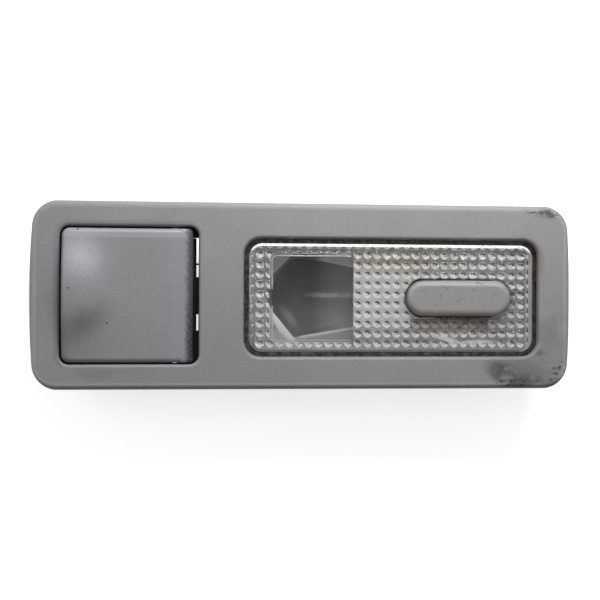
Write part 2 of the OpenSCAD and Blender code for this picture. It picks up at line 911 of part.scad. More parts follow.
module housing_screw(n) {
    low = z_rim - 4.2;
    color([0.62, 0.62, 0.64])
    at_screw(n)
        difference() {
            union() {
                translate([0, 0, low + 1.5])
                    cylinder(r = screw_r, h = 5.6);
                translate([0, 0, low])
                    cylinder(r = head_r, h = 1.6);
            }
            box(0.8 - head_r, head_r - 0.8, -0.25, 0.25, low - 1, low + 0.7);
            box(-0.25, 0.25, 0.8 - head_r, head_r - 0.8, low - 1, low + 0.7);
        }
}

bezel();
cover_flap();
hinge_pin();
lens();
rocker_button();
plunger_spring();
switch_plunger();
contact_teeter();
switch_body();
terminal_common();
terminal_ground();
terminal_door();
terminal_supply();
reflector();
bulb_glass();
bulb_filament();
bulb_holder();
lamp_housing();
spring_clip_upper();
spring_clip_lower();
housing_screw(1);  // housing_screw_1
housing_screw(2);  // housing_screw_2
housing_screw(3);  // housing_screw_3
housing_screw(4);  // housing_screw_4
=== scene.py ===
import json
import math

import bmesh
import bpy
from mathutils import Euler, Matrix, Vector


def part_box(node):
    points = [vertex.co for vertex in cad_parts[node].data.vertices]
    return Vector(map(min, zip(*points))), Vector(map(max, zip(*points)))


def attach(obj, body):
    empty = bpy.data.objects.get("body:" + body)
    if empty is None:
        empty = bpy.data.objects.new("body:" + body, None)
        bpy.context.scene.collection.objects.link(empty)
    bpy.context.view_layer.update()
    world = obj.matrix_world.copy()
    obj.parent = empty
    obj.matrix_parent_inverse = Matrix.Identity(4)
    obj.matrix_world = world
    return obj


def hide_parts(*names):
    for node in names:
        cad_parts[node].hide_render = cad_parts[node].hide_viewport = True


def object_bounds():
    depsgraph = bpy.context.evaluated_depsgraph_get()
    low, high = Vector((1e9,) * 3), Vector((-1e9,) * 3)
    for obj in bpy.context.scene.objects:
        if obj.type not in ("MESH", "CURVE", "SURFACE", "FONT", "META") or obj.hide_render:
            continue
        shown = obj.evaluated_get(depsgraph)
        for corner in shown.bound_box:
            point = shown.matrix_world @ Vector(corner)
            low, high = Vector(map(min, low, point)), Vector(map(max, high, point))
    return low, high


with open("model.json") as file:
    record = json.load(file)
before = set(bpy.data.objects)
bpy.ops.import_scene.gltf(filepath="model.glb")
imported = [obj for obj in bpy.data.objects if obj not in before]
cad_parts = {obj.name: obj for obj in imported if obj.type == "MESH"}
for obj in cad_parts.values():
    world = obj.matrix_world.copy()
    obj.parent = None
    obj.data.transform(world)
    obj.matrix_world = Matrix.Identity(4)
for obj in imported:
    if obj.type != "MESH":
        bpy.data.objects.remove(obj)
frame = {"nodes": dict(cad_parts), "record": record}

MM = 0.001
nodes = frame["nodes"]
cad_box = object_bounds()
scene = bpy.context.scene


# Camera, at the photograph's angle. The picture is 600 pixels wide and high.
IMAGE_W = 600
SENSOR_W = 36.0
CAMERA_DISTANCE = 420.0
CAMERA_TURN = Euler([math.radians(a) for a in (-0.18, 6.43, -0.258)])
CAMERA_ASIDE = (-1.083, -1.268)
FOCAL_PIXELS = 1239.5
# The nearest and furthest things it sees, in metres
CLIP = (0.01, 20)


def make_camera():
    data = bpy.data.cameras.new("camera")
    data.sensor_width = SENSOR_W
    data.lens = FOCAL_PIXELS / IMAGE_W * SENSOR_W
    data.clip_start, data.clip_end = CLIP
    camera = bpy.data.objects.new("camera", data)
    scene.collection.objects.link(camera)
    back = CAMERA_TURN.to_matrix().transposed()
    place = back @ Vector((*CAMERA_ASIDE, CAMERA_DISTANCE)) * MM
    camera.matrix_world = Matrix.Translation(place) @ back.to_4x4()
    scene.camera = camera


# Heights above the bezel's rear rim: the face of the bezel and the flap, the face of the
# lens, the underside that the beads hang from, and the underside of the lens's rim
FACE_Z = 8.0
PAD_Z = 7.0
UNDER_Z = 4.9
RIM_Z = 3.6
# Height of the flat deck round the reflector's bowl
DECK_Z = -2.1

# Outlines on the face: length, width and corner radius
BEZEL = (181.0, 62.0, 8.8)
LENS_OPENING = (100.0, 39.3, 5.6)
RIM = (104.1, 43.6, 7.1)
PAD = (96.5, 36.1, 4.4)
ROOM = (94.1, 34.3, 3.4)
WINDOW = (27.8, 28.1, 1.6)
NOTCH = (2.0, 5.4, 0.1)
PILL = (37.2, 13.0, 6.5)

# Beads on the lens's underside, in a square grid of cells with fine grooves between them
PITCH = 3.3
COLS = 28
ROWS = 10
BEAD_R = 1.2
BEAD_H = 0.78
GROOVE_W = 0.16
GROOVE_H = 0.2

# Middles of the window, the rocker button and the bead grid, from the lens's middle
WINDOW_X = -26.5
WINDOW_Y = -0.1
ROCKER_X = 23.0
FIELD_Y = -0.3
WINDOW_RIM_W = 1.0
# The window ends where the first whole column of beads starts
WINDOW_COLS = 10

lens_low, lens_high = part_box("lens")
LENS_X = (lens_low.x + lens_high.x) / 2 / MM
LENS_Y = (lens_low.y + lens_high.y) / 2 / MM
WINDOW_END = LENS_X + (WINDOW_COLS - COLS / 2) * PITCH + 0.02

FLAP_GAP = 1.0
FLAP_OPENING_R = 4.0
flap_low, flap_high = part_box("cover_flap")
FLAP_X = (flap_low.x + flap_high.x) / 2 / MM
FLAP_OPENING = (
    (flap_high.x - flap_low.x) / MM + 2 * FLAP_GAP,
    (flap_high.y - flap_low.y) / MM + 2 * FLAP_GAP,
    FLAP_OPENING_R,
)


def grown(outline, by):
    """An outline, given as length, width and corner radius, moved out by a distance."""
    l, w, r = outline
    return (l + 2 * by, w + 2 * by, r + by)


# Meshes
def new_piece(name, bm, material, body, smooth_angle=35):
    """A mesh made in millimetres becomes a piece in metres that rides on a body."""
    bmesh.ops.recalc_face_normals(bm, faces=bm.faces)
    mesh = bpy.data.meshes.new(name)
    bm.to_mesh(mesh)
    bm.free()
    mesh.transform(Matrix.Scale(MM, 4))
    piece = bpy.data.objects.new(name, mesh)
    scene.collection.objects.link(piece)
    if material:
        mesh.materials.append(material)
    smooth(piece, smooth_angle)
    if body:
        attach(piece, body)
    return piece


def plain_object(name, bm):
    """A mesh that is joined to a piece or cut out of it."""
    return new_piece(name, bm, None, None)


def smooth(piece, angle):
    """Smooth faces, with the edges that turn more than the angle kept sharp."""
    mesh = piece.data
    for polygon in mesh.polygons:
        polygon.use_smooth = True
    mesh.set_sharp_from_angle(angle=math.radians(angle))


def round_rect(l, w, r, steps=10):
    """Points of a rectangle with round corners about the origin."""
    points = []
    for corner in range(4):
        cx = (l / 2 - r) * (1, -1, -1, 1)[corner]
        cy = (w / 2 - r) * (1, 1, -1, -1)[corner]
        for i in range(steps + 1):
            a = math.radians(90 * corner + 90 * i / steps)
            points.append((cx + r * math.cos(a), cy + r * math.sin(a)))
    return points


def pill_outline(grow=0.0):
    """The rocker button's cut-out, moved out by a distance."""
    l, w, _ = grown(PILL, grow)
    return round_rect(l, w, w / 2 - 0.001, 24)


def loft(bm, rings):
    """Skins a list of rings of 3D points, all of the same length, and caps both ends."""
    made = [[bm.verts.new(p) for p in ring] for ring in rings]
    n = len(made[0])
    for low, high in zip(made, made[1:]):
        for i in range(n):
            bm.faces.new((low[i], low[(i + 1) % n], high[(i + 1) % n], high[i]))
    bm.faces.new(made[0][::-1])
    bm.faces.new(made[-1])


def prism(outline, z0, z1, at=(0, 0)):
    """An upright solid between two heights."""
    bm = bmesh.new()
    loft(bm, [[(x + at[0], y + at[1], z) for x, y in outline] for z in (z0, z1)])
    return bm


def combine(target, tool, operation):
    """Boolean of two closed meshes; the tool object is used up."""
    modifier = target.modifiers.new("cut", "BOOLEAN")
    modifier.operation = operation
    modifier.solver = "MANIFOLD"
    modifier.object = tool
    bpy.context.view_layer.update()
    graph = bpy.context.evaluated_depsgraph_get()
    mesh = bpy.data.meshes.new_from_object(target.evaluated_get(graph))
    target.modifiers.clear()
    target.data = mesh
    bpy.data.objects.remove(tool)


def cut(target, bm):
    """Takes a closed mesh out of a piece."""
    combine(target, plain_object("cut", bm), "DIFFERENCE")


# Node materials
def rgb(r, g, b):
    return (r, g, b, 1.0)


class Paint:
    """A material with a Principled shader, and short calls that add nodes to it.

    Places are in millimetres. A weight is 1 where a mark is full and 0 where it is absent.
    """

    def __init__(self, name, **sockets):
        self.material = bpy.data.materials.new(name)
        self.material.use_nodes = True
        self.tree = self.material.node_tree
        self.shader = self.tree.nodes["Principled BSDF"]
        for socket, value in sockets.items():
            self.set(socket.replace("_", " "), value)
        metres = self.add("ShaderNodeTexCoord").outputs["Object"]
        self.place = self.vector("MULTIPLY", metres, (1 / MM,) * 3)
        self.x, self.y, self.z = self.split(self.place)

    def add(self, kind, settings=None, **inputs):
        """A new node. An input is named by its socket, or as i0, i1 and so on by its number."""
        made = self.tree.nodes.new(kind)
        for key, value in (settings or {}).items():
            setattr(made, key, value)
        for key, value in inputs.items():
            numbered = key[0] == "i" and key[1:].isdigit()
            self.link(made.inputs[int(key[1:]) if numbered else key], value)
        return made

    def link(self, socket, value):
        if isinstance(value, bpy.types.NodeSocket):
            self.tree.links.new(value, socket)
        else:
            socket.default_value = value

    def set(self, socket, value):
        """Sets or links a socket of the shader."""
        names = {s.name.lower(): s for s in self.shader.inputs}
        self.link(names[socket.lower()], value)

    def math(self, operation, a, b=0.0):
        return self.add("ShaderNodeMath", {"operation": operation}, i0=a, i1=b).outputs[0]

    def vector(self, operation, a, b=(0, 0, 0)):
        made = self.add("ShaderNodeVectorMath", {"operation": operation}, i0=a, i1=b)
        return made.outputs["Value" if operation == "LENGTH" else "Vector"]

    def split(self, vector):
        return self.add("ShaderNodeSeparateXYZ", Vector=vector).outputs

    def noise(self, scale, detail=3.0, rough=0.55, stretch=None):
        """Noise over the object's place, scale in waves per millimetre."""
        place = self.vector("MULTIPLY", self.place, stretch) if stretch else self.place
        made = self.add(
            "ShaderNodeTexNoise", Vector=place, Scale=scale, Detail=detail, Roughness=rough
        )
        return made.outputs["Fac"]

    def ramp(self, value, low, high, out_low=0.0, out_high=1.0):
        """A smooth step from out_low, where the value is at low, to out_high at high."""
        made = self.add("ShaderNodeMapRange", Value=value)
        made.interpolation_type = "SMOOTHSTEP"
        made.inputs["From Min"].default_value = low
        made.inputs["From Max"].default_value = high
        made.inputs["To Min"].default_value = out_low
        made.inputs["To Max"].default_value = out_high
        return made.outputs[0]

    def away(self, value, middle):
        """How far a value is from the middle, on either side."""
        return self.math("ABSOLUTE", self.math("SUBTRACT", value, middle))

    def band(self, value, middle, half):
        """1 where the value is near the middle, 0 further away than half."""
        return self.ramp(self.away(value, middle), half, half * 0.4)

    def times(self, *factors):
        made = factors[0]
        for factor in factors[1:]:
            made = self.math("MULTIPLY", made, factor)
        return made

    def most(self, *values):
        made = values[0]
        for value in values[1:]:
            made = self.math("MAXIMUM", made, value)
        return made

    def mix(self, factor, a, b):
        made = self.add("ShaderNodeMix", {"data_type": "RGBA"})
        self.link(made.inputs["Factor"], factor)
        self.link(made.inputs[6], a)
        self.link(made.inputs[7], b)
        return made.outputs[2]

    def coats(self, colour, *coats):
        """Lays coats over a colour, one after the other; each is a weight and a colour."""
        for weight, coat in coats:
            colour = self.mix(weight, colour, coat)
        return colour

    def spot(self, x, y, rx, ry, turn=0.0, soft=0.6):
        """1 in the middle of an ellipse on the face, 0 outside it."""
        moved = self.vector("SUBTRACT", self.place, (x, y, 0))
        turned = self.add("ShaderNodeVectorRotate", {"rotation_type": "Z_AXIS"}, Vector=moved)
        turned.inputs["Angle"].default_value = math.radians(-turn)
        scaled = self.vector("MULTIPLY", turned.outputs[0], (1 / rx, 1 / ry, 0))
        return self.ramp(self.vector("LENGTH", scaled), 1.0, 1.0 - soft)

    def outside(self, l, w, r, x, y):
        """Distance out of a rectangle with round corners on the face, less than 0 inside it."""
        moved = self.vector("ABSOLUTE", self.vector("SUBTRACT", self.place, (x, y, 0)))
        past = self.vector("SUBTRACT", moved, (l / 2 - r, w / 2 - r, 0))
        past_x, past_y, _ = self.split(past)
        level = self.vector("MULTIPLY", self.vector("MAXIMUM", past), (1, 1, 0))
        inner = self.math("MINIMUM", self.math("MAXIMUM", past_x, past_y), 0.0)
        return self.math("SUBTRACT", self.math("ADD", self.vector("LENGTH", level), inner), r)

    def across(self, x, y, nx, ny):
        """Distance from the line through x, y on the face, more than 0 towards nx, ny."""
        along_x = self.times(self.math("SUBTRACT", self.x, x), nx)
        along_y = self.times(self.math("SUBTRACT", self.y, y), ny)
        return self.math("ADD", along_x, along_y)

    def bump(self, height, strength, distance):
        made = self.add("ShaderNodeBump", Height=height, Strength=strength, Distance=distance * MM)
        self.set("Normal", made.outputs[0])


# Dirt on the bezel: x, y, two half widths and turn of each patch
BEZEL_DIRT = (
    (84, -27, 5, 3.4, 35),
    (81, 28.6, 8, 2.2, -8),
    (79, -21, 5, 4, 0),
    (76, -28, 7, 3, 10),
)
BEZEL_SPECKS = (
    (81, 28.6, 9, 2.0, -8),
    (85, -25.5, 7, 2.0, 48),
    (70, -29, 10, 1.6, 0),
)


def bezel_paint():
    """Satin grey, smudged, with dirt at the right end and along the lower edge. A painted
    highlight runs along the outer edge, and painted shade lies round the openings' lips, towards
    the lower right corner and, near black, on low surfaces inside the openings.
    """
    p = Paint("bezel_plastic", Roughness=0.5)
    blotch = p.noise(0.16, 5, 0.65)
    fine = p.noise(0.9, 4, 0.7)
    edge = p.outside(*BEZEL, 0, 0)
    flap_lip = p.outside(*FLAP_OPENING, FLAP_X, 0)
    lens_lip = p.outside(*LENS_OPENING, LENS_X, LENS_Y)

    # Painted highlight along the rounded outer edge.
    crest_highlight = p.times(p.band(edge, -1.8, 0.6), 0.5)
    warm_edge = p.times(p.ramp(edge, -2.2, -0.6), p.ramp(p.x, -80, -88), 0.5)
    stain = p.times(p.ramp(edge, -1.9, -0.4), p.ramp(p.y, -20, -31), p.ramp(fine, 0.25, 0.6))
    left_smudge = p.times(p.spot(-84, -2.5, 5, 6, soft=1.0), 0.35)
    low_smudge = p.times(p.spot(-70, -25.6, 14, 3, soft=1.0), 0.3)
    smudge = p.times(p.most(left_smudge, low_smudge), p.ramp(blotch, 0.3, 0.6))
    lip_sides = p.most(p.ramp(p.x, -79, -80.3), p.ramp(p.y, 20.6, 21.4))
    lip_shade = p.times(p.ramp(flap_lip, 2.4, 0.2), lip_sides, 0.4)
    corner_shade = p.times(p.spot(76, -26, 17, 10, -20, 1.0), 0.45)
    grain = p.ramp(p.noise(1.4, 3, 0.7), 0.35, 0.7, 0.0, 0.22)
    end_smudge = p.times(p.spot(84, -12, 11, 19, soft=1.0), p.ramp(blotch, 0.35, 0.6), 0.5)
    dirt = p.times(p.spot(69, -26.5, 12, 5, -26), p.ramp(blotch, 0.36, 0.58))
    for patch in BEZEL_DIRT:
        dirt = p.most(dirt, p.times(p.spot(*patch), p.ramp(blotch, 0.44, 0.64)))
    specks = p.most(*(p.spot(*patch) for patch in BEZEL_SPECKS))
    specks = p.times(specks, p.ramp(p.noise(0.8, 4, 0.75, (0.6, 1.6, 1)), 0.53, 0.6))
    warm_lip = p.times(p.ramp(lens_lip, 2.8, 0.8), p.spot(76, 13, 14, 14, soft=1.0), 0.9)
    # Dirt and painted shade at the lens opening's lip.
    lip_grime_and_shade = p.times(p.ramp(lens_lip, 1.0, 0.2), p.ramp(fine, 0.2, 0.55), 0.4)
    # Painted shade, near black, on low surfaces inside the openings.
    recess_shade = p.times(p.ramp(p.z, 5.6, 3.6), p.ramp(edge, -2.5, -4.0))

    plastic = p.mix(p.noise(0.05, 5, 0.6), rgb(0.230, 0.226, 0.234), rgb(0.298, 0.296, 0.308))
    colour = p.coats(
        plastic,
        (crest_highlight, rgb(0.36, 0.36, 0.37)),
        (warm_edge, rgb(0.36, 0.335, 0.315)),
        (p.times(stain, 0.55), rgb(0.135, 0.110, 0.092)),
        (smudge, rgb(0.15, 0.14, 0.11)),
        (lip_shade, rgb(0.12, 0.115, 0.105)),
        (corner_shade, rgb(0.07, 0.065, 0.06)),
        (grain, rgb(0.12, 0.118, 0.12)),
        (end_smudge, rgb(0.15, 0.143, 0.145)),
        (p.times(dirt, 0.75), rgb(0.045, 0.042, 0.040)),
        (specks, rgb(0.022, 0.020, 0.019)),
        (warm_lip, rgb(0.20, 0.165, 0.14)),
        (lip_grime_and_shade, rgb(0.08, 0.07, 0.062)),
        (recess_shade, rgb(0.012, 0.012, 0.012)),
    )
    p.set("Base Color", colour)
    p.bump(p.noise(0.9, 3), 0.25, 0.12)
    return p.material


# Three small specks on the flap: x and y
FLAP_SPECKS = ((-65.4, -9.1), (-77.7, 2.3), (-74.9, 21.5))


def flap_paint():
    """Satin grey with a dark smear that is partly painted shade, painted sheens on the upper left
    and near the hinge, a painted highlight along the top edge, and dirt and painted shade on the
    rolled edge.
    """
    p = Paint("flap_plastic", Roughness=0.38)
    smeared = p.ramp(p.noise(0.12, 4, 0.6), 0.25, 0.55)
    # A dark smear on the lower left, partly painted shade under the bulge.
    smear_and_shade = p.times(p.spot(-73, -8.5, 14, 8, 32, 1.0), 0.68, smeared)
    # Painted sheen on the upper left of the bulge.
    upper_sheen = p.times(p.spot(-74, 12.5, 11, 11, soft=1.0), 0.85)
    # Painted sheen, cool grey, where the face turns down to the hinge.
    roll_sheen = p.times(p.band(p.x, -42.3, 3.4), 0.35)
    brown_corner = p.times(p.ramp(p.x, -75.5, -79), p.ramp(p.y, 2, -12), 0.35)
    grain = p.ramp(p.noise(1.4, 3, 0.7), 0.35, 0.7, 0.0, 0.22)
    # Painted highlight along the top edge.
    top_edge_highlight = p.times(p.ramp(p.y, 18.4, 19.6), 0.4)
    # Dirt and painted shade on the rolled edge.
    ragged_x = p.math("ADD", p.x, p.ramp(p.noise(0.8, 4, 0.7), 0.3, 0.7, -0.5, 0.5))
    rolled = p.times(p.ramp(ragged_x, -40.6, -38.4), 0.8)
    flecks = p.times(p.ramp(p.noise(2.4, 3, 0.7), 0.47, 0.56), p.ramp(p.x, -40.3, -38.8))
    flecks = p.times(flecks, p.ramp(p.y, 0, -14, 0.35, 1.0))
    specks = p.most(*(p.spot(x, y, 0.45, 0.35, 30) for x, y in FLAP_SPECKS))

    plastic = p.mix(p.noise(0.05, 5, 0.6), rgb(0.240, 0.239, 0.250), rgb(0.290, 0.290, 0.304))
    colour = p.coats(
        plastic,
        (smear_and_shade, rgb(0.12, 0.12, 0.125)),
        (upper_sheen, rgb(0.42, 0.42, 0.47)),
        (roll_sheen, rgb(0.29, 0.30, 0.33)),
        (brown_corner, rgb(0.24, 0.18, 0.14)),
        (grain, rgb(0.12, 0.12, 0.125)),
        (top_edge_highlight, rgb(0.42, 0.42, 0.45)),
        (rolled, rgb(0.055, 0.055, 0.055)),
        (flecks, rgb(0.008, 0.008, 0.008)),
        (specks, rgb(0.03, 0.03, 0.03)),
    )
    p.set("Base Color", colour)
    p.bump(p.noise(1.0, 3), 0.25, 0.12)
    return p.material


# Fine scratches all over the button: x, y, half length and turn
SCRATCH_HALF_W = 0.2
BUTTON_SCRATCHES = (
    (39.6, 1.9, 2.1, 14),
    (43.8, -2.7, 1.5, -38),
    (47.1, 3.1, 1.7, 152),
    (51.4, -1.5, 2.6, 33),
    (56.9, 2.3, 1.9, -17),
    (60.3, -2.9, 1.4, 81),
    (63.7, 0.6, 2.3, 48),
    (45.6, 0.4, 1.2, 97),
)


def button_paint():
    """Satin warm grey with fine scratches, painted shadows along the upper edge at the right, and
    a warm lower band.
    """
    p = Paint("button_plastic", Roughness=0.42)
    broken = p.ramp(p.noise(1.6, 4, 0.7), 0.38, 0.55)
    patches = p.ramp(p.noise(1.8, 4, 0.7), 0.52, 0.7)
    scuffs = p.times(p.spot(52.5, 0, 15, 4.6, soft=0.9), patches, 0.5)
    for x, y, half_length, turn in BUTTON_SCRATCHES:
        scratch = p.spot(x, y, half_length, SCRATCH_HALF_W, turn)
        scuffs = p.most(scuffs, p.times(scratch, broken))
    # Painted shadows, near black, along the upper edge at the right, where the button meets the
    # lens.
    gap_shadows = p.most(p.spot(58.6, 4.5, 2.0, 0.3, -14), p.spot(66.4, 5.2, 2.2, 0.3, -24))
    gap_shadows = p.times(gap_shadows, p.ramp(p.noise(1.5, 3, 0.6), 0.36, 0.5))
    lower_band = p.times(p.ramp(p.y, -4.4, -6.4), 0.6)

    plastic = p.mix(p.noise(0.06, 4), rgb(0.240, 0.236, 0.228), rgb(0.275, 0.271, 0.263))
    colour = p.coats(
        plastic,
        (scuffs, rgb(0.09, 0.09, 0.085)),
        (gap_shadows, rgb(0.02, 0.02, 0.02)),
        (lower_band, rgb(0.50, 0.44, 0.38)),
    )
    p.set("Base Color", colour)
    p.bump(p.noise(1.2, 3), 0.15, 0.1)
    return p.material


def bead_marks(p):
    """The light and shade of a bead, the same in every cell of the grid."""
    corner = (LENS_X - COLS * PITCH / 2, LENS_Y + FIELD_Y - ROWS * PITCH / 2, 0)
    cell = p.vector("MULTIPLY", p.vector("SUBTRACT", p.place, corner), (1 / PITCH,) * 3)
    cell = p.vector("SUBTRACT", p.vector("FRACTION", cell), (0.5, 0.5, 0.5))
    cell = p.vector("MULTIPLY", cell, (PITCH, PITCH, 0))
    u, v, _ = p.split(cell)
    r = p.vector("LENGTH", cell)
    lower = p.math("ADD", p.times(v, -0.94), p.times(u, -0.34))
    crescent = p.times(p.band(r, 1.0, 0.8), p.ramp(lower, -0.15, 0.2))
    shaded = p.times(p.band(r, 0.55, 0.42), p.ramp(lower, 0.1, -0.2))
    dot = p.ramp(r, 0.34, 0.16)
    lines = p.ramp(p.most(p.away(u, 0), p.away(v, 0)), 1.48, 1.6)
    return r, crescent, shaded, dot, lines


def window_marks(p, window, under):
    """The pale line on the window's rim, open at its notch, and the glare in its lower corner."""
    notch = p.times(p.ramp(p.away(p.y, LENS_Y), 2.9, 2.6), p.ramp(p.x, 0, -2))
    line = p.times(under, p.band(p.away(window, 0), 0.42, 0.3), p.ramp(p.x, 16.2, 15.4))
    line = p.times(line, p.ramp(notch, 0, 1, 0.95, 0.0))
    past = p.across(-9.9, -6.27, 0.774, 0.634)
    glare = p.times(p.ramp(past, 0.1, -0.2), p.ramp(past, -3.4, -0.4, 0.3, 1.0))
    glare = p.times(glare, p.ramp(window, -0.3, -0.6), p.ramp(p.y, 0, -4), p.ramp(p.x, 0, -2))
    return line, p.times(glare, under)


def clear_paint():
    """Clear plastic: a painted highlight along its pad's edge, dulled over the beads with painted
    light and shade in each cell, a painted shadow under the rocker button and a painted
    reflection, clear in the window.
    """
    p = Paint("clear_plastic", IOR=1.49)
    rim_middle = grown(WINDOW, WINDOW_RIM_W / 2)
    window = p.outside(*rim_middle, LENS_X + WINDOW_X, LENS_Y + WINDOW_Y)
    under = p.ramp(p.z, UNDER_Z + 0.2, UNDER_Z + 0.05)
    beads = p.most(p.ramp(window, 0.3, 0.7), p.ramp(p.x, WINDOW_END - 0.1, WINDOW_END + 0.1))
    beads = p.times(under, beads, p.ramp(p.outside(*ROOM, LENS_X, LENS_Y), 0.3, 0.0))
    r, crescent, shaded, dot, lines = bead_marks(p)
    rim_line, glare = window_marks(p, window, under)

    # Painted highlight along the pad's edge, strongest along the top.
    pad_edge_highlight = p.band(p.outside(*PAD, LENS_X, LENS_Y), -0.4, 0.55)
    pad_edge_highlight = p.times(pad_edge_highlight, p.ramp(p.z, PAD_Z - 0.8, PAD_Z - 0.6))
    pad_edge_highlight = p.times(pad_edge_highlight, p.ramp(p.noise(0.8, 4, 0.6), 0.15, 0.45))
    pad_edge_highlight = p.times(pad_edge_highlight, p.ramp(p.y, 14, 16, 0.14, 0.75))
    # Painted light through the beads over the bulb: lighter and less clear in the middle.
    pale = p.times(p.ramp(p.x, 44, 34), p.ramp(p.x, 15, 16.5))
    pale = p.times(pale, p.ramp(p.away(p.y, 0), 13, 8, 0.1, 1.0))
    beige = p.spot(34, 12.3, 23, 6.5, soft=0.5)
    # Painted shadow of the rocker button on the beads below it, with a warm tint.
    rocker_shadow = p.ramp(p.outside(26.6, 3.3, 0.2, 49.2, -9.05), 0.3, -0.1)
    glint = p.most(p.spot(48.5, -14.4, 8, 1.25, -14), p.spot(59, -15.2, 10, 1.1, 1))
    # Painted highlight of the bulb along the middle row of beads.
    bulb_highlight = p.times(p.band(p.y, 0.5, 1.0), p.ramp(p.x, 36, 34), p.ramp(p.x, 15, 16))
    bulb_highlight = p.times(bulb_highlight, p.ramp(r, 0.5, 1.2, 0.5, 1.0))
    # Painted shade, near black, round the left end of the rocker button's cut-out.
    button_gap_shade = p.band(p.outside(*PILL, LENS_X + ROCKER_X, LENS_Y), 0.05, 0.4)
    button_gap_shade = p.times(button_gap_shade, p.ramp(p.x, 46, 38), p.ramp(p.z, PAD_Z - 0.3, PAD_Z - 0.1))

    lit = p.times(p.most(crescent, dot), p.ramp(rocker_shadow, 0, 1, 1.0, 0.35))
    bead_colour = p.coats(
        p.mix(pale, rgb(0.70, 0.685, 0.67), rgb(0.97, 0.96, 0.945)),
        (p.times(beige, 0.6), rgb(0.66, 0.58, 0.40)),
        (p.times(rocker_shadow, 0.85), rgb(0.34, 0.25, 0.20)),
        (p.times(shaded, 0.9), rgb(0.03, 0.03, 0.03)),
        (lit, rgb(1.0, 1.0, 1.0)),
        (glint, rgb(1.0, 0.97, 0.96)),
    )
    clear = rgb(0.97, 0.965, 0.955)
    p.set("Base Color", p.coats(clear, (beads, bead_colour), (button_gap_shade, rgb(0.01, 0.01, 0.01))))

    haze = p.math("ADD", p.times(pale, 0.48), 0.16)
    dulled = p.most(haze, crescent, dot, p.times(lines, 0.75), p.times(shaded, 0.7))
    dulled = p.most(dulled, p.times(bulb_highlight, 0.7), glint, p.times(rocker_shadow, 0.5))
    opaque = p.most(pad_edge_highlight, p.times(beads, dulled), rim_line, glare, p.times(button_gap_shade, 0.9))
    p.set("Transmission Weight", p.ramp(opaque, 0, 1, 1.0, 0.0))
    p.set("Roughness", p.ramp(p.noise(0.3, 4), 0.4, 0.7, 0.01, 0.04))
    return p.material


def bowl_colour(p):
    """The reflector's bowl, painted with its light and shade: darker to the left and the top,
    lighter to the right, with a painted soft light on its left wall.
    """
    left_light = p.spot(-4.2, -7, 7, 2.6, -52, 1.0)
    return p.coats(
        p.mix(p.ramp(p.y, -12, 9), rgb(0.18, 0.18, 0.18), rgb(0.14, 0.14, 0.14)),
        (p.times(p.ramp(p.x, 2, 17), 0.8), rgb(0.58, 0.58, 0.59)),
        (p.times(left_light, 0.8), rgb(0.42, 0.42, 0.42)),
    )


def deck_colour(p):
    """The deck round the bowl, as the window shows it, with straight edges at the corners: dark in
    the middle, lighter along the bottom and in the upper corners, with a painted reflection in the
    lower left corner, strongest at its edge.
    """
    low_corner = p.across(-9.0, -6.4, 0.774, 0.634)
    top_corner = p.across(-9.0, 8.5, 0.71, -0.70)
    upper = p.ramp(p.y, 4, 8)
    # Painted reflection, bluish white, along the straight edge of the lower corner.
    corner_reflection = p.times(p.ramp(low_corner, 0.15, -0.15), p.ramp(low_corner, -4.2, -0.2, 0.3, 1.0))
    corner_reflection = p.times(corner_reflection, p.ramp(p.y, 0, -4))
    return p.coats(
        p.mix(p.ramp(p.y, -10, -12), rgb(0.16, 0.16, 0.16), rgb(0.50, 0.50, 0.53)),
        (p.times(p.ramp(top_corner, 0.2, -0.2), upper), rgb(0.66, 0.66, 0.65)),
        (p.times(p.ramp(p.x, 3, 8), upper), rgb(0.72, 0.72, 0.71)),
        (corner_reflection, rgb(0.90, 0.93, 0.98)),
    )


